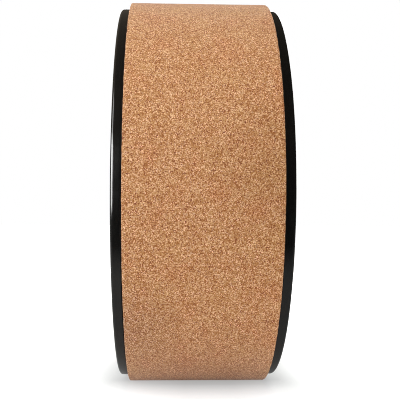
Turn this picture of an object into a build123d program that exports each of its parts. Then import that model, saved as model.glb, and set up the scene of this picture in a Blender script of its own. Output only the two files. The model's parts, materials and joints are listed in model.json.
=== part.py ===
"""Cork-covered exercise wheel: a hollow hoop, moulded in two halves, that carries a wrapped pad.

Frame, in millimetres: the origin is the wheel's centre, +Y is its axis, +Z is up and +X is its front.
The left half is at -Y and the right half at +Y. Angles run from +X towards +Z.
"""

from build123d import *
import os

# Overall sizes
tread_diameter = 325.0  # over the cork
overall_width = 127.0  # over both rims

# The wrapped pad, from outside to inside
cork_thickness = 3.0
cork_edge_radius = 0.6
cork_tape_thickness = 0.25
foam_thickness = 4.0
foam_tape_thickness = 0.25
tape_setback = 1.5  # from the pad's edge to each tape's edge

# Butt joints where each wrapped layer's two ends meet
cork_joint_angle = 180.0
foam_joint_angle = 150.0
foam_tape_joint_angle = 120.0
butt_gap = 0.3
seam_tape_length = 24.0  # round the wheel, under the cork's joint
seam_tape_gap = 1.0  # to the ends of the tape that it interrupts

# The hollow core's walls
seat_wall = 2.8  # under the pad
cavity_height = 4.4
bore_wall = 2.8
side_wall = 4.0

# The rims
rim_width = 7.6
rim_rise = 2.3  # above the seat that the pad is bonded to
pad_side_gap = 0.4  # between the pad and each rim's shoulder
shoulder_radius = 0.8
rim_outer_radius = 2.0
rim_bore_radius = 3.0
parting_chamfer = 0.4  # on each half, where they meet in the bore

# Stiffening ribs inside each half
rib_count = 24
rib_thickness = 2.2

# The hoop that joins the halves inside the cavity
hoop_width = 24.0
hoop_clearance = 0.15  # to each wall of the cavity
hoop_end_clearance = 0.5  # to the ribs

cut_reach = 1.0  # how far a cutting slab runs past what it cuts

# Radii that follow from those
tread_radius = tread_diameter / 2
cork_bore = tread_radius - cork_thickness
foam_radius = cork_bore - cork_tape_thickness
foam_bore = foam_radius - foam_thickness
seat_radius = foam_bore - foam_tape_thickness
rim_radius = seat_radius + rim_rise
cavity_radius = seat_radius - seat_wall
cavity_bore = cavity_radius - cavity_height
bore_radius = cavity_bore - bore_wall

# Places along the axis, and the widths between them
half_width = overall_width / 2
shoulder_y = half_width - rim_width
cavity_end_y = half_width - side_wall
pad_width = 2 * (shoulder_y - pad_side_gap)
tape_width = pad_width - 2 * tape_setback


def turned(profile):
    """The solid that a face makes round the wheel's axis; in the face, X is the radius and Y the axis."""
    return revolve(profile, axis=Axis.Y)


def ring(outer, inner, width, middle=0.0):
    """A plain ring about the wheel's axis, its middle at that Y."""
    face = Pos((outer + inner) / 2, middle) * Rectangle(outer - inner, width)
    return turned(face)


def at_angle(angle, shape):
    """Turns a shape from the wheel's front to that angle."""
    return Rot(0, -angle, 0) * shape


def radial_slab(angle, outer, inner, width, thickness, middle=0.0):
    """A box that crosses a ring's wall at one angle; its thickness is round the wheel."""
    start = (inner**2 - (thickness / 2) ** 2) ** 0.5 - cut_reach
    end = outer + cut_reach
    return at_angle(angle, Pos((start + end) / 2, middle, 0) * Box(end - start, width, thickness))


def split(strip, angle, outer, inner, gap):
    """A wrapped strip with the gap where its two ends meet."""
    return strip - radial_slab(angle, outer, inner, pad_width + 2 * cut_reach, gap)


def cork_tread():
    """One strip of agglomerated cork, wrapped once round, with its outer edges eased."""
    face = Pos((tread_radius + cork_bore) / 2, 0) * Rectangle(cork_thickness, pad_width)
    outer_corners = face.vertices().group_by(Axis.X)[-1]
    strip = turned(fillet(outer_corners, cork_edge_radius))
    return split(strip, cork_joint_angle, tread_radius, cork_bore, butt_gap)


def cork_tape_layer():
    """The whole bonding layer between the cork and the foam, before it is cut for the seam tape."""
    return ring(cork_bore, foam_radius, tape_width)


def cork_seam_tape():
    """The short reinforcing tape that bridges the cork's butt joint."""
    width = tape_width + 2 * cut_reach
    return cork_tape_layer() & radial_slab(
        cork_joint_angle, cork_bore, foam_radius, width, seam_tape_length
    )


def cork_bonding_tape():
    """Double-sided tape under the cork, interrupted where the seam tape lies."""
    opening = seam_tape_length + 2 * seam_tape_gap
    return split(cork_tape_layer(), cork_joint_angle, cork_bore, foam_radius, opening)


def foam_underlay():
    """One strip of closed-cell foam that cushions the cork."""
    strip = ring(foam_radius, foam_bore, pad_width)
    return split(strip, foam_joint_angle, foam_radius, foam_bore, butt_gap)


def foam_bonding_tape():
    """Double-sided tape that holds the foam to the core."""
    strip = ring(foam_bore, seat_radius, tape_width)
    return split(strip, foam_tape_joint_angle, foam_bore, seat_radius, butt_gap)


def half_profile():
    """The right half's section with its cavity filled, its corners rounded."""
    corners = Polyline(
        (bore_radius + parting_chamfer, 0),
        (bore_radius, parting_chamfer),
        (bore_radius, half_width),
        (rim_radius, half_width),
        (rim_radius, shoulder_y),
        (seat_radius, shoulder_y),
        (seat_radius, 0),
        close=True,
    )
    face = make_face(corners)
    rounds = (
        ((bore_radius, half_width), rim_bore_radius),
        ((rim_radius, half_width), rim_outer_radius),
        ((rim_radius, shoulder_y), shoulder_radius),
    )
    for place, radius in rounds:
        corner = face.vertices().sort_by_distance(Vector(*place))[0]
        face = fillet(corner, radius)
    return face


def pockets():
    """The right half's cavity: open where the joining hoop goes in, and divided by ribs beyond it."""
    rib_start_y = hoop_width / 2 + hoop_end_clearance
    rib_length = cavity_end_y - rib_start_y
    rib_middle_y = rib_start_y + rib_length / 2
    whole = ring(cavity_radius, cavity_bore, cavity_end_y, cavity_end_y / 2)
    rib = radial_slab(0, cavity_radius, cavity_bore, rib_length, rib_thickness, rib_middle_y)
    ribs = [at_angle(360.0 * (i + 0.5) / rib_count, rib) for i in range(rib_count)]
    return whole - ribs


def core_half():
    """The right half of the hollow core."""
    return turned(half_profile()) - pockets()


def joining_hoop():
    """The plain hoop that plugs into both halves and aligns them; it is bonded in."""
    return ring(cavity_radius - hoop_clearance, cavity_bore + hoop_clearance, hoop_width)


def parts():
    """Every node's name and its shape."""
    right = core_half()
    return {
        "left_core_half": mirror(right, about=Plane.XZ),
        "right_core_half": right,
        "joining_hoop": joining_hoop(),
        "foam_bonding_tape": foam_bonding_tape(),
        "foam_underlay": foam_underlay(),
        "cork_bonding_tape": cork_bonding_tape(),
        "cork_seam_tape": cork_seam_tape(),
        "cork_tread": cork_tread(),
    }


os.makedirs("parts", exist_ok=True)
for node, shape in parts().items():
    export_step(shape, f"parts/{node}.step")
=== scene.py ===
"""Looks of a cork-covered exercise wheel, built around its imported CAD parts. Metres, +Z up, axis along +Y."""

import bmesh
import bpy
import json
import math
import numpy as np
from mathutils import Matrix, Vector


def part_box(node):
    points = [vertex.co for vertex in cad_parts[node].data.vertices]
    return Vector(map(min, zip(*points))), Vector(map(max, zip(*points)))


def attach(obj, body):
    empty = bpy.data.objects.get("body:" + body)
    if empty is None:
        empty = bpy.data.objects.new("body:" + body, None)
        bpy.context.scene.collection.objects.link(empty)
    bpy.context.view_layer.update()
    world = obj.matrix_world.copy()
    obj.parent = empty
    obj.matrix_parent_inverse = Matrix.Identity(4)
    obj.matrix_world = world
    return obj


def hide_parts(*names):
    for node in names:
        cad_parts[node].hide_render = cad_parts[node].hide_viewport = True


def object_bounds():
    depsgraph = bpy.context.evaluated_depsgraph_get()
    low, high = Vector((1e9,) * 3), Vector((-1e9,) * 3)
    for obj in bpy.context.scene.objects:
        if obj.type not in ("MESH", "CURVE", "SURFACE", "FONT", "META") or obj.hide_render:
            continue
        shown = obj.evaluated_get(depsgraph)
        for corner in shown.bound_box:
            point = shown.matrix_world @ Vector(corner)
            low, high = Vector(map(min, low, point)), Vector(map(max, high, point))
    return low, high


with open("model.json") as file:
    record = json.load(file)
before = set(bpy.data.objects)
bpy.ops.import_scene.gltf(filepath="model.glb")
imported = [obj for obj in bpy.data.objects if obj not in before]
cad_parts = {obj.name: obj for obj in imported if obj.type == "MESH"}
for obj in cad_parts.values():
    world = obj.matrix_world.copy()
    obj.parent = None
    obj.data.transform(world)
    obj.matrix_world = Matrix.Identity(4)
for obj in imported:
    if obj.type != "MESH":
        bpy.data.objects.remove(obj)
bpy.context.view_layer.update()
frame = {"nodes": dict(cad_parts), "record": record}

MM = 0.001
SEED = 7

# Sizes read from the frame
mounts = {m["name"]: m for m in frame["record"]["mounts"]}
tread_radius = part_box("cork_tread")[1].z
pad_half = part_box("cork_tread")[1].y
rim_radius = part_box("right_core_half")[1].z
half_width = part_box("right_core_half")[1].y
bore_radius = mounts["bore"]["dims"]["r_mm"] * MM
foam_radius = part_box("foam_underlay")[1].z
hoop_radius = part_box("joining_hoop")[1].z
hoop_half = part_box("joining_hoop")[1].y
floor_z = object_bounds()[0].z

# Sizes that no box gives, as in the CAD source
cork_thickness = 3.0 * MM
foam_thickness = 4.0 * MM
film = 0.25 * MM  # each bonding tape
pad_side_gap = 0.4 * MM
side_wall = 4.0 * MM
bore_wall = 2.8 * MM
hoop_clearance = 0.15 * MM
hoop_end_clearance = 0.5 * MM
rim_outer_round = 2.0 * MM
rim_bore_round = 3.0 * MM
shoulder_round = 0.8 * MM
parting_chamfer = 0.4 * MM
cork_edge_round = 0.6 * MM
butt_gap = 0.3 * MM
cork_joint = math.pi
foam_joint = math.radians(150)

# Places that follow from those
foam_bore = foam_radius - foam_thickness
seat_radius = foam_bore - film
shoulder_y = pad_half + pad_side_gap
cavity_radius = hoop_radius + hoop_clearance
cavity_bore = bore_radius + bore_wall
cavity_end = half_width - side_wall
rib_start = hoop_half + hoop_end_clearance

# How finely each piece is divided
RIBS = 24
STEPS_PER_RIB = 18  # one of them is the rib itself
RIB_STEP = STEPS_PER_RIB // 2 - 1  # the rib's middle is half way between two ribs' places
ROUND_STEPS = 12
SHOULDER_STEPS = 6
BORE_STEPS = 12
SEAT_STEPS = 8
SHORT_STEPS = 4  # on the core's and the cork's small flats, and round the cork's edges
CORK_ROWS = 72  # across the tread
CORK_STEPS = 930  # round it
FOAM_STEPS = 360
FOAM_ROWS = 10
FOAM_SIDE_STEPS = 8

# The cork's relief: the sizes of its features, and how deep each goes
COARSE_SIZE, COARSE_DEPTH = 9 * MM, 0.05 * MM
MEDIUM_SIZE, MEDIUM_DEPTH = 4 * MM, 0.06 * MM
GRAIN_SIZE, GRAIN_DEPTH = 1.7 * MM, 0.08 * MM
PORE_SHARE, PORE_DEPTH = 0.028, 0.16 * MM  # the share of the surface's points that are pores
EDGE_REACH = 1.6 * MM  # how far in from each edge the wear goes
CHIP_SIZE, CHIP_DEPTH = 2.3 * MM, 0.55 * MM
EDGE_PULL, CHIP_PULL = 0.10 * MM, 0.5 * MM  # inwards along the axis

# The cork's looks
GRANULE = 0.6 * MM
CORK_MEAN = (0.655, 0.447, 0.256)  # on a 0 to 1 display scale
GRAIN_SPREAD = (0.113, 0.136, 0.162)  # a usual difference between granules, on that scale
DISPLAY_GAMMA = 2.2
DARKEST = 0.02  # of a granule, on the display scale

# Most of a noise texture's values lie between these
MIDDLE = (0.3, 0.7)
WIDE = (0.2, 0.8)


# ---------------------------------------------------------------- mesh helpers

def arc(centre, radius, start, end, steps):
    """Points on an arc in the profile's plane; the angles are in degrees."""
    turns = np.radians(np.linspace(start, end, steps + 1))
    return [(centre[0] + radius * math.cos(t), centre[1] + radius * math.sin(t)) for t in turns]


def spaced(start, end, steps):
    """Points between two corners of a profile, without the corners themselves."""
    return [
        (start[0] + (end[0] - start[0]) * i / steps, start[1] + (end[1] - start[1]) * i / steps)
        for i in range(1, steps)
    ]


def grid_faces(rows, columns, closed_rows, closed_columns):
    """Quads between neighbouring points of a grid, whose points are numbered row by row."""
    i = np.arange(rows if closed_rows else rows - 1)
    j = np.arange(columns if closed_columns else columns - 1)
    i, j = (a.ravel() for a in np.meshgrid(i, j, indexing="ij"))
    i2, j2 = (i + 1) % rows, (j + 1) % columns
    return np.stack([i * columns + j, i * columns + j2, i2 * columns + j2, i2 * columns + j], 1)


def mesh_object(name, points, faces, smooth=True):
    mesh = bpy.data.meshes.new(name)
    mesh.from_pydata([tuple(p) for p in points], [], [tuple(int(k) for k in f) for f in faces])
    mesh.validate()
    mesh.update()
    mesh.polygons.foreach_set("use_smooth", [smooth] * len(mesh.polygons))
    made = bpy.data.objects.new(name, mesh)
    bpy.context.scene.collection.objects.link(made)
    return made


def wheel_points(radii, along, angles):
    """Points about the wheel's axis: grids of radius and of place along the axis, each row at one angle."""
    turn = np.asarray(angles)[:, None]
    return np.stack([radii * np.cos(turn), along, radii * np.sin(turn)], -1).reshape(-1, 3)


def outward_normals(piece):
    work = bmesh.new()
    work.from_mesh(piece.data)
    bmesh.ops.recalc_face_normals(work, faces=work.faces)
    work.to_mesh(piece.data)
    work.free()


def sharpen(piece, angle):
    """Keeps edges crisp where two faces meet at more than that many degrees."""
    piece.data.set_sharp_from_angle(angle=math.radians(angle))


# ---------------------------------------------------------------- smooth repeatable noise

def hashed(cells, salt):
    """A number from 0 to 1 for each whole-numbered cell."""
    mix = np.array([374761393, 668265263, 2147483647, 1274126177][: cells.shape[-1]], np.uint64)
    h = (cells.astype(np.int64).astype(np.uint64) * mix).sum(-1) + np.uint64(salt * 2654435761)
    h = (h ^ (h >> np.uint64(13))) * np.uint64(1274126177)
    h = h ^ (h >> np.uint64(16))
    return (h & np.uint64(0xFFFFFF)).astype(float) / 0xFFFFFF


def value_noise(points, size, salt):
    """Smooth noise from 0 to 1, with features about that size."""
    p = points / size + 1000.0  # keeps every cell's number above zero
    base = np.floor(p)
    t = p - base
    t = t * t * (3 - 2 * t)
    total = np.zeros(len(points))
    for corner in np.ndindex(2, 2, 2):
        c = np.array(corner)
        weight = np.prod(np.where(c, t, 1 - t), axis=1)
        total += weight * hashed(base + c, salt)
    return total


# ---------------------------------------------------------------- the core

def core_outside():
    """The right half's section, from the bore's middle over the rim to where its cavity's ribs start."""
    bore_end = (bore_radius, half_width - rim_bore_round)
    side_start = (bore_radius + rim_bore_round, half_width)
    side_end = (rim_radius - rim_outer_round, half_width)
    crown_start = (rim_radius, half_width - rim_outer_round)
    crown_end = (rim_radius, shoulder_y + shoulder_round)
    points = [(bore_radius + parting_chamfer, 0.0), (bore_radius, parting_chamfer)]
    points += spaced((bore_radius, parting_chamfer), bore_end, BORE_STEPS)
    points += arc((side_start[0], bore_end[1]), rim_bore_round, 180, 90, ROUND_STEPS)
    points += spaced(side_start, side_end, SHORT_STEPS)
    points += arc((side_end[0], crown_start[1]), rim_outer_round, 90, 0, ROUND_STEPS)
    points += spaced(crown_start, crown_end, SHORT_STEPS)
    points += arc((rim_radius - shoulder_round, crown_end[1]), shoulder_round, 0, -90, SHOULDER_STEPS)
    points += [(seat_radius, shoulder_y)]
    points += spaced((seat_radius, shoulder_y), (seat_radius, 0.0), SEAT_STEPS)
    points += [(seat_radius, 0.0), (cavity_radius, 0.0), (cavity_radius, rib_start)]
    return points


def pocket_faces(steps, columns, top, bottom, first):
    """The walls of the pockets between the ribs; the far walls' points are numbered from the first on."""
    faces = []
    for k in range(steps):
        if k % STEPS_PER_RIB == RIB_STEP:
            continue
        n = (k + 1) % steps
        near = (k * columns + top, n * columns + top, n * columns + bottom, k * columns + bottom)
        far = (first + 2 * k, first + 2 * n, first + 2 * n + 1, first + 2 * k + 1)
        faces.append((near[0], far[0], far[1], near[1]))
        faces.append((near[3], near[2], far[2], far[3]))
        faces.append((far[0], far[3], far[2], far[1]))
        if (k - 1) % STEPS_PER_RIB == RIB_STEP:
            faces.append((near[0], near[3], far[3], far[0]))
        if (k + 1) % STEPS_PER_RIB == RIB_STEP:
            faces.append((near[1], far[1], far[2], near[2]))
    return faces


def core_half(name, cad_node, side):
    """One moulded half of the hollow core: its outside, its cavity, and the pockets between its ribs."""
    outside = core_outside()
    inside = [(cavity_bore, rib_start), (cavity_bore, 0.0)]
    profile = np.array(outside + inside)
    steps = RIBS * STEPS_PER_RIB
    angles = 2 * math.pi * (np.arange(steps) + 0.5) / steps
    radii = np.tile(profile[:, 0], (steps, 1))
    along = np.tile(profile[:, 1], (steps, 1))
    points = wheel_points(radii, along, angles)
    columns = len(profile)
    faces = grid_faces(steps, columns, True, True)
    # the wall across the cavity, where the pockets open, joins the profile's points at these two places
    wall_top, wall_bottom = len(outside) - 1, len(outside)
    on_wall = faces[:, 0] % columns == wall_top
    is_rib = faces[:, 0] // columns % STEPS_PER_RIB == RIB_STEP
    faces = [tuple(f) for f in faces[~(on_wall & ~is_rib)]]
    faces += pocket_faces(steps, columns, wall_top, wall_bottom, len(points))
    far_radii = np.tile([cavity_radius, cavity_bore], (steps, 1))
    points = np.vstack([points, wheel_points(far_radii, np.full((steps, 2), cavity_end), angles)])
    if side < 0:
        points = points * np.array([1, -1, 1])
    piece = mesh_object(name, points, faces)
    outward_normals(piece)
    sharpen(piece, 40)
    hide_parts(cad_node)
    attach(piece, "root")
    return piece


# ---------------------------------------------------------------- the pad

def strip(name, profile, joint, gap, steps, shape=None):
    """A strip wrapped once round the wheel, its two ends meeting at one angle, with closed ends."""
    inner = profile[:, 0].min()
    slit = gap / 2 / inner
    angles = joint + np.linspace(slit, 2 * math.pi - slit, steps + 1)
    radii = np.tile(profile[:, 0], (steps + 1, 1))
    along = np.tile(profile[:, 1], (steps + 1, 1))
    if shape:
        radii, along = shape(radii, along, angles)
    columns = len(profile)
    faces = [tuple(f) for f in grid_faces(steps + 1, columns, False, True)]
    faces.append(tuple(range(columns)))
    faces.append(tuple(range(steps * columns + columns - 1, steps * columns - 1, -1)))
    piece = mesh_object(name, wheel_points(radii, along, angles), faces)
    outward_normals(piece)
    return piece


def cork_profile():
    """The cork strip's section, dense on its outside and at its worn edges."""
    edge_in = pad_half - cork_edge_round
    top = tread_radius - cork_edge_round
    lower = tread_radius - cork_thickness
    points = [(lower, -pad_half)]
    points += spaced((lower, -pad_half), (top, -pad_half), SHORT_STEPS)
    points += arc((top, -edge_in), cork_edge_round, -90, 0, SHORT_STEPS)
    points += spaced((tread_radius, -edge_in), (tread_radius, edge_in), CORK_ROWS)
    points += arc((top, edge_in), cork_edge_round, 0, 90, SHORT_STEPS)
    points += spaced((top, pad_half), (lower, pad_half), SHORT_STEPS)
    points += [(lower, pad_half)]
    return np.array(points)


def cork_relief(radii, along, angles):
    """Presses granules and pores into the cork's faces and wears its edges, always inwards."""
    turn = angles[:, None] + np.zeros_like(radii)
    place = np.stack([radii * np.cos(turn), along, radii * np.sin(turn)], -1).reshape(-1, 3)
    shape = radii.shape
    coarse = value_noise(place, COARSE_SIZE, SEED).reshape(shape)
    medium = value_noise(place, MEDIUM_SIZE, SEED + 1).reshape(shape)
    grains = value_noise(place, GRAIN_SIZE, SEED + 2).reshape(shape)
    pores = hashed(np.stack([np.indices(shape)[0], np.indices(shape)[1]], -1), SEED + 3)
    pit = np.clip((pores - (1 - PORE_SHARE)) / PORE_SHARE, 0, 1)
    chips = value_noise(place, CHIP_SIZE, SEED + 4).reshape(shape)
    edge = np.clip(1 - (pad_half - np.abs(along)) / EDGE_REACH, 0, 1)
    depth = COARSE_DEPTH * coarse + MEDIUM_DEPTH * medium + GRAIN_DEPTH * grains + PORE_DEPTH * pit
    depth = depth + CHIP_DEPTH * edge * np.clip(chips - 0.45, 0, 1)
    pull = edge * (EDGE_PULL * medium + CHIP_PULL * np.clip(chips - 0.5, 0, 1))
    outer = radii > tread_radius - cork_thickness * 0.9
    radii = radii - np.where(outer, depth, 0.0)
    along = along - np.sign(along) * np.where(outer, pull, 0.0)
    return radii, along


def cork_tread():
    piece = strip("cork_wrap", cork_profile(), cork_joint, butt_gap, CORK_STEPS, cork_relief)
    sharpen(piece, 55)
    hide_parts("cork_tread")
    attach(piece, "root")
    return piece


def foam_profile():
    """The foam's section, its two cut sides very slightly bulged by the wrap's tension."""
    bulge = 0.12 * MM
    middle = (foam_bore + foam_radius) / 2
    half = foam_thickness / 2
    edge = pad_half - bulge
    turns = np.linspace(0, math.pi, FOAM_SIDE_STEPS + 1)
    left = [(middle - half * math.cos(t), -edge - bulge * math.sin(t)) for t in turns]
    right = [(middle + half * math.cos(t), edge + bulge * math.sin(t)) for t in turns]
    across_top = spaced(left[-1], right[0], FOAM_ROWS)
    across_bottom = spaced(right[-1], left[0], FOAM_ROWS)
    return np.array(left + across_top + right + across_bottom)


def foam_underlay():
    piece = strip("foam_pad", foam_profile(), foam_joint, butt_gap, FOAM_STEPS)
    sharpen(piece, 40)
    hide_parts("foam_underlay")
    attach(piece, "root")
    return piece


# ---------------------------------------------------------------- shader helpers

def material(name):
    made = bpy.data.materials.new(name)
    made.use_nodes = True
    tree = made.node_tree
    tree.nodes.clear()
    output = tree.nodes.new("ShaderNodeOutputMaterial")
    shader = tree.nodes.new("ShaderNodeBsdfPrincipled")
    tree.links.new(shader.outputs["BSDF"], output.inputs["Surface"])
    return made, tree, shader


def feed(tree, socket, value):
    """Links a socket to another one, or sets it to a constant."""
    if isinstance(value, bpy.types.NodeSocket):
        tree.links.new(value, socket)
    else:
        socket.default_value = value


def node(tree, kind, inputs=None, **settings):
    made = tree.nodes.new(kind)
    for key, value in settings.items():
        setattr(made, key, value)
    for key, value in (inputs or {}).items():
        feed(tree, made.inputs[key], value)
    return made


def object_coordinates(tree):
    return node(tree, "ShaderNodeTexCoord").outputs["Object"]


def vector_math(tree, operation, a, b):
    return node(tree, "ShaderNodeVectorMath", {0: a, 1: b}, operation=operation).outputs[0]


def distance(tree, a, b=(0, 0, 0)):
    return node(tree, "ShaderNodeVectorMath", {0: a, 1: b}, operation="DISTANCE").outputs["Value"]


def math_node(tree, operation, a, b):
    return node(tree, "ShaderNodeMath", {0: a, 1: b}, operation=operation).outputs[0]


def product(tree, first, *others):
    for other in others:
        first = math_node(tree, "MULTIPLY", first, other)
    return first


def noise(tree, where, size, detail=2.0, roughness=0.5, offset=(0, 0, 0), output="Fac"):
    """Noise with features about that size, in metres."""
    moved = vector_math(tree, "ADD", where, offset)
    inputs = {"Vector": moved, "Scale": 1 / size, "Detail": detail, "Roughness": roughness}
    return node(tree, "ShaderNodeTexNoise", inputs).outputs[output]


def cells(tree, where, size, feature="F1"):
    return node(tree, "ShaderNodeTexVoronoi", {"Vector": where, "Scale": 1 / size}, feature=feature)


def remap(tree, value, low, high, to_low=0.0, to_high=1.0):
    inputs = {"Value": value, "From Min": low, "From Max": high, "To Min": to_low, "To Max": to_high}
    return node(tree, "ShaderNodeMapRange", inputs).outputs[0]


def mixed(tree, factor, a, b, blend="MIX"):
    made = node(tree, "ShaderNodeMix", data_type="RGBA", blend_type=blend)
    for socket, value in ((0, factor), (6, a), (7, b)):
        feed(tree, made.inputs[socket], value)
    return made.outputs[2]


def ramp(tree, value, stops):
    made = node(tree, "ShaderNodeValToRGB", {"Fac": value})
    elements = made.color_ramp.elements
    while len(elements) < len(stops):
        elements.new(0.5)
    for element, (place, colour) in zip(elements, stops):
        element.position = place
        element.color = (*colour, 1.0)
    return made.outputs["Color"]


def shades(tree, value, dark, light, span=MIDDLE):
    """A colour between two shades, by a noise value."""
    return ramp(tree, value, [(span[0], dark), (span[1], light)])


def bump(tree, shader, layers):
    """Stacks bumps on the shader; each layer is (height, distance in metres, strength)."""
    normal = None
    for height, reach, strength in layers:
        inputs = {"Height": height, "Distance": reach, "Strength": strength}
        if normal:
            inputs["Normal"] = normal
        normal = node(tree, "ShaderNodeBump", inputs).outputs["Normal"]
    tree.links.new(normal, shader.inputs["Normal"])


# ---------------------------------------------------------------- materials

def cork_shade(steps):
    """The albedo of a granule that many usual differences lighter than the cork's mean."""
    shade = (mean + steps * spread for mean, spread in zip(CORK_MEAN, GRAIN_SPREAD))
    return tuple(max(value, DARKEST) ** DISPLAY_GAMMA for value in shade)


def cork_place(angle, side):
    """A place on the cork's surface, at one of its edges and that many degrees up from its front."""
    turn = math.radians(angle)
    return (tread_radius * math.cos(turn), side * pad_half, tread_radius * math.sin(turn))


def cork_tone(tree, where):
    """A tone from 0 to 1 for each granule: small cells with uneven outlines."""
    shake = noise(tree, where, 0.9 * MM, 1.0, output="Color")
    centred = vector_math(tree, "SUBTRACT", shake, (0.5, 0.5, 0.5))
    scaled = node(tree, "ShaderNodeVectorMath", {0: centred, "Scale": 0.6 * MM}, operation="SCALE").outputs[0]
    granules = cells(tree, vector_math(tree, "ADD", where, scaled), GRANULE)
    return node(tree, "ShaderNodeSeparateColor", {"Color": granules.outputs["Color"]}).outputs[0]


def cork_material():
    made, tree, shader = material("agglomerated_cork")
    where = object_coordinates(tree)
    tone = cork_tone(tree, where)
    tones = ((0.00, -2.1), (0.16, -1.1), (0.50, 0.0), (0.84, 1.1), (1.00, 2.1))
    colour = ramp(tree, tone, [(place, cork_shade(steps)) for place, steps in tones])
    # broad, faint mottling towards red and towards yellow
    mottle = noise(tree, where, 22 * MM, offset=(0.7, 0.2, 0.4))
    reddish = remap(tree, mottle, 0.52, 0.72, 0.0, 0.35)
    yellowish = remap(tree, mottle, 0.48, 0.28, 0.0, 0.35)
    colour = mixed(tree, reddish, colour, (0.96, 0.70, 0.58, 1), "MULTIPLY")
    colour = mixed(tree, yellowish, colour, (0.97, 1.0, 0.80, 1), "MULTIPLY")
    # two broad patches of painted shade at the strip's edges: the cork is drawn darker there as if less light
    # reached it
    painted_shade_places = (
        (cork_place(5, 1), 60 * MM, (0.86, 0.83, 0.75)),
        (cork_place(-38, -1), 50 * MM, (0.86, 0.87, 0.93)),
    )
    for place, reach, tint in painted_shade_places:
        dim = remap(tree, distance(tree, where, place), reach, 0.2 * reach)
        colour = mixed(tree, dim, colour, (*tint, 1), "MULTIPLY")
    tree.links.new(colour, shader.inputs["Base Color"])
    tree.links.new(remap(tree, tone, 0.0, 1.0, 0.80, 0.95), shader.inputs["Roughness"])
    shader.inputs["Specular IOR Level"].default_value = 0.25
    shader.inputs["Sheen Weight"].default_value = 0.20
    shader.inputs["Sheen Roughness"].default_value = 0.5
    bump(tree, shader, [(tone, 0.05 * MM, 0.5)])
    return made


def core_plastic_material():
    """Black ABS: polished on the rims and the flat sides, and finely textured in the bore, for grip."""
    made, tree, shader = material("black_abs")
    where = object_coordinates(tree)
    flow = noise(tree, where, 30 * MM, 3.0, 0.55)
    smudge = noise(tree, where, 9 * MM, 4.0, 0.6, (0.2, 0.5, 0.8))
    speck = noise(tree, where, 0.5 * MM, offset=(0.9, 0.3, 0.6))
    radius = distance(tree, vector_math(tree, "MULTIPLY", where, (1, 0, 1)))
    in_bore = remap(tree, radius, bore_radius + 1.2 * MM, bore_radius + 0.2 * MM)
    polished_colour = shades(tree, flow, (0.0036, 0.0033, 0.0030), (0.0054, 0.0049, 0.0045))
    colour = mixed(tree, in_bore, polished_colour, (0.0085, 0.0082, 0.0080, 1))
    tree.links.new(colour, shader.inputs["Base Color"])
    smooth = remap(tree, smudge, *MIDDLE, 0.10, 0.15)
    polished = math_node(tree, "ADD", smooth, remap(tree, speck, *MIDDLE, 0.0, 0.03))
    textured = remap(tree, smudge, *MIDDLE, 0.76, 0.84)
    tree.links.new(mixed(tree, in_bore, polished, textured), shader.inputs["Roughness"])
    shader.inputs["IOR"].default_value = 1.53
    peel = noise(tree, where, 1.6 * MM, 1.0, offset=(0.5, 0.5, 0.1))
    pebbles = product(tree, cells(tree, where, 0.7 * MM, "SMOOTH_F1").outputs["Distance"], in_bore)
    bump(tree, shader, [(peel, 0.008 * MM, 0.5), (flow, 0.05 * MM, 0.3), (pebbles, 0.06 * MM, 0.6)])
    return made


def foam_material():
    made, tree, shader = material("black_closed_cell_foam")
    where = object_coordinates(tree)
    cell = cells(tree, where, 0.5 * MM).outputs["Distance"]
    patch = noise(tree, where, 5 * MM, 3.0, 0.6)
    shade = math_node(tree, "ADD", product(tree, cell, 0.6), product(tree, patch, 0.4))
    colour = shades(tree, shade, (0.014, 0.014, 0.014), (0.034, 0.033, 0.032), WIDE)
    tree.links.new(colour, shader.inputs["Base Color"])
    tree.links.new(remap(tree, patch, *WIDE, 0.86, 0.96), shader.inputs["Roughness"])
    bump(tree, shader, [(cell, 0.10 * MM, 0.7)])
    return made


def satin_plastic_material():
    made, tree, shader = material("satin_black_plastic")
    where = object_coordinates(tree)
    patch = noise(tree, where, 14 * MM, 3.0, 0.6)
    grain = noise(tree, where, 0.4 * MM)
    colour = shades(tree, patch, (0.012, 0.012, 0.012), (0.020, 0.020, 0.020))
    tree.links.new(colour, shader.inputs["Base Color"])
    tree.links.new(remap(tree, patch, *MIDDLE, 0.42, 0.56), shader.inputs["Roughness"])
    bump(tree, shader, [(grain, 0.02 * MM, 0.5)])
    return made


def tape_material():
    made, tree, shader = material("adhesive_film")
    where = object_coordinates(tree)
    blotch = noise(tree, where, 7 * MM, 3.0, 0.6)
    fibre = noise(tree, where, 0.7 * MM, 3.0, 0.6)
    colour = shades(tree, blotch, (0.46, 0.40, 0.27), (0.58, 0.52, 0.38))
    colour = mixed(tree, remap(tree, fibre, 0.45, 0.7, 0.0, 0.4), colour, (0.66, 0.60, 0.46, 1))
    tree.links.new(colour, shader.inputs["Base Color"])
    tree.links.new(remap(tree, blotch, *MIDDLE, 0.35, 0.55), shader.inputs["Roughness"])
    bump(tree, shader, [(fibre, 0.02 * MM, 0.5)])
    return made


def paint(piece, made):
    piece.data.materials.clear()
    piece.data.materials.append(made)


# ---------------------------------------------------------------- the studio

# The floor by the wheel's foot, measured from it: each pair is where a change starts and where it ends
FRONT_STARTS, FRONT_ENDS = (-5 * MM, 35 * MM), (200 * MM, 100 * MM)  # in front, which is +X
FRONT_SIDES = (78 * MM, 58 * MM)  # to either side of its middle
SHADOW_STARTS, SHADOW_ENDS = (-200 * MM, -50 * MM), (52 * MM, 18 * MM)
SHADOW_SIDES = (95 * MM, 63.5 * MM)
SWEEP_ENDS = (220 * MM, 340 * MM)
FLOOR_RADIUS, FLOOR_SIDES = 6.0, 96


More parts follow.
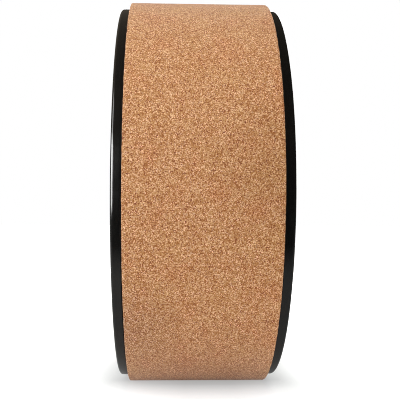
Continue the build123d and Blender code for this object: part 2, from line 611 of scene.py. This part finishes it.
def front_light(tree, x, y):
    """How brightly the camera sees the floor in front of the wheel: more with distance, and to its sides."""
    ahead = remap(tree, x, 12 * MM, 90 * MM, 0.31, 0.97)
    left = remap(tree, y, -10 * MM, -75 * MM, 0.0, 0.22)
    right = remap(tree, y, 30 * MM, 75 * MM, 0.0, 0.13)
    return math_node(tree, "ADD", math_node(tree, "ADD", ahead, left), right)


def floor_material():
    """White to the camera apart from the wheel's soft shadow, a normal white surface to matt ones, and to
    glossy ones a white sweep that ends a little way in front of the wheel."""
    made, tree, shader = material("white_sweep")
    shader.inputs["Roughness"].default_value = 1.0
    shader.inputs["Specular IOR Level"].default_value = 0.0
    shader.inputs["Emission Color"].default_value = (1, 1, 1, 1)
    path = node(tree, "ShaderNodeLightPath")
    where = object_coordinates(tree)
    split = node(tree, "ShaderNodeSeparateXYZ", {0: where})
    x, y = split.outputs["X"], split.outputs["Y"]
    beside = node(tree, "ShaderNodeMath", {0: y}, operation="ABSOLUTE").outputs[0]
    away = distance(tree, where)  # from the wheel's centre
    # the light from the front reaches under the wheel there
    front = product(
        tree, remap(tree, x, *FRONT_STARTS), remap(tree, x, *FRONT_ENDS), remap(tree, beside, *FRONT_SIDES)
    )
    # close beside the wheel its soft shadow lies, behind the line where it stands and just in front of it
    shadow = product(
        tree, remap(tree, beside, *SHADOW_SIDES), remap(tree, x, *SHADOW_ENDS), remap(tree, x, *SHADOW_STARTS)
    )
    seen = product(tree, remap(tree, shadow, 0.0, 1.0, 1.02, 0.46), remap(tree, front, 0.0, 1.0, 1.0, 0.25))
    sweep = remap(tree, x, *SWEEP_ENDS, 0.45, 0.03)
    sweep = product(tree, sweep, remap(tree, y, 0.0, 0.10, 1.0, 0.65))
    shade = mixed(tree, path.outputs["Is Glossy Ray"], (1, 1, 1, 1), sweep)
    shade = mixed(tree, path.outputs["Is Camera Ray"], shade, seen)
    tree.links.new(shade, shader.inputs["Base Color"])
    open_light = remap(tree, away, 0.25, 0.6, 0.38, 0.8)
    seen_light = mixed(tree, front, open_light, front_light(tree, x, y))
    camera_glow = product(tree, path.outputs["Is Camera Ray"], seen_light)
    bounce = remap(tree, away, 0.165, 0.21, 0.145, 0.215)
    matt_glow = product(tree, path.outputs["Is Diffuse Ray"], bounce)
    tree.links.new(math_node(tree, "ADD", camera_glow, matt_glow), shader.inputs["Emission Strength"])
    return made


def studio_floor():
    angles = np.linspace(0, 2 * math.pi, FLOOR_SIDES, endpoint=False)
    points = [(FLOOR_RADIUS * math.cos(t), FLOOR_RADIUS * math.sin(t), floor_z) for t in angles]
    floor = mesh_object("studio_floor", points, [tuple(range(FLOOR_SIDES))], smooth=False)
    paint(floor, floor_material())


def background(tree, colour, strength):
    return node(tree, "ShaderNodeBackground", {"Color": colour, "Strength": strength}).outputs[0]


def studio_world():
    """White to the camera, a soft dome to the object's matt surfaces, and a dim room to its glossy ones."""
    world = bpy.data.worlds.new("light_tent")
    bpy.context.scene.world = world
    world.use_nodes = True
    tree = world.node_tree
    tree.nodes.clear()
    output = node(tree, "ShaderNodeOutputWorld")
    path = node(tree, "ShaderNodeLightPath")
    direction = node(tree, "ShaderNodeTexCoord").outputs["Generated"]
    toward = node(tree, "ShaderNodeSeparateXYZ", {0: direction})
    # the room is brightest to the left, brighter above than at eye level, and warmer above
    left_glow = remap(tree, toward.outputs["Y"], 0.2, -0.8, 0.046, 0.38)
    room_shade = product(tree, left_glow, remap(tree, toward.outputs["Z"], 0.0, 0.7, 0.3, 1.0))
    warm = remap(tree, toward.outputs["Z"], 0.0, 0.5)
    room_colour = mixed(tree, warm, room_shade, (1.0, 0.85, 0.65, 1), "MULTIPLY")
    dome = background(tree, (1.0, 0.995, 0.985, 1), 0.36)
    room = background(tree, room_colour, 1.0)
    white = background(tree, (1, 1, 1, 1), 1.0)
    inner = node(tree, "ShaderNodeMixShader", {0: path.outputs["Is Glossy Ray"], 1: dome, 2: room})
    inputs = {0: path.outputs["Is Camera Ray"], 1: inner.outputs[0], 2: white}
    outer = node(tree, "ShaderNodeMixShader", inputs)
    tree.links.new(outer.outputs[0], output.inputs["Surface"])


def softbox(name, place, target, size, power, tint=(1, 1, 1)):
    light = bpy.data.lights.new(name, "AREA")
    light.shape = "RECTANGLE"
    light.size, light.size_y = size
    light.energy = power
    light.color = tint
    made = bpy.data.objects.new(name, light)
    made.location = place
    made.rotation_mode = "QUATERNION"
    made.rotation_quaternion = (Vector(target) - Vector(place)).to_track_quat("-Z", "Y")
    bpy.context.scene.collection.objects.link(made)
    return made


def studio_lights():
    softbox("key_left", (0.62, -0.62, 0.42), (0.1, 0, 0), size=(0.45, 0.75), power=5.9)
    top = softbox("top", (0.25, 0.05, 1.1), (0.05, 0, 0), size=(1.0, 0.8), power=7.4, tint=(0.95, 1.0, 0.94))
    top.visible_glossy = False
    rim_strip = softbox("rim_strip", (0.72, -0.60, 0.13), (0.16, -0.06, 0), size=(0.9, 0.58), power=25.0)
    rim_strip.visible_diffuse = False
    softbox("back", (-0.95, 0.25, 0.28), (-0.1, 0, 0), size=(0.9, 0.5), power=5.0)


CAMERA_PLACE = Vector((4.004, -0.1315, -0.0918))  # in radii of the tread
CAMERA_YAW, CAMERA_PITCH, CAMERA_ROLL = -2.191, 0.729, -0.260  # degrees from looking straight at the tread
CAMERA_LENS, CAMERA_SENSOR = 65.7, 36.0  # millimetres


def camera():
    """In front of the wheel, a little below its centre, turned slightly, as the object is seen."""
    data = bpy.data.cameras.new("camera")
    data.sensor_width = CAMERA_SENSOR
    data.lens = CAMERA_LENS
    data.clip_start = 0.01
    made = bpy.data.objects.new("camera", data)
    bpy.context.scene.collection.objects.link(made)
    forward, right, up = Vector((-1, 0, 0)), Vector((0, 1, 0)), Vector((0, 0, 1))
    yaw = Matrix.Rotation(math.radians(CAMERA_YAW), 3, up)
    forward, right = yaw @ forward, yaw @ right
    pitch = Matrix.Rotation(math.radians(CAMERA_PITCH), 3, right)
    forward, up = pitch @ forward, pitch @ up
    roll = Matrix.Rotation(math.radians(CAMERA_ROLL), 3, forward)
    right, up = roll @ right, roll @ up
    turn = Matrix((right, up, -forward)).transposed()
    made.matrix_world = Matrix.Translation(CAMERA_PLACE * tread_radius) @ turn.to_4x4()
    bpy.context.scene.camera = made


# ---------------------------------------------------------------- the scene

black = core_plastic_material()
paint(core_half("left_core", "left_core_half", -1), black)
paint(core_half("right_core", "right_core_half", 1), black)
paint(cork_tread(), cork_material())
paint(foam_underlay(), foam_material())
paint(frame["nodes"]["joining_hoop"], satin_plastic_material())
film_material = tape_material()
for tape in ("foam_bonding_tape", "cork_bonding_tape", "cork_seam_tape"):
    paint(frame["nodes"][tape], film_material)

studio_floor()
studio_world()
studio_lights()
camera()
scene = bpy.context.scene
scene.view_settings.view_transform = "Standard"
scene.cycles.filter_width = 1.0  # both this and the next keep the cork's fine grain crisp
scene.cycles.denoising_prefilter = "NONE"
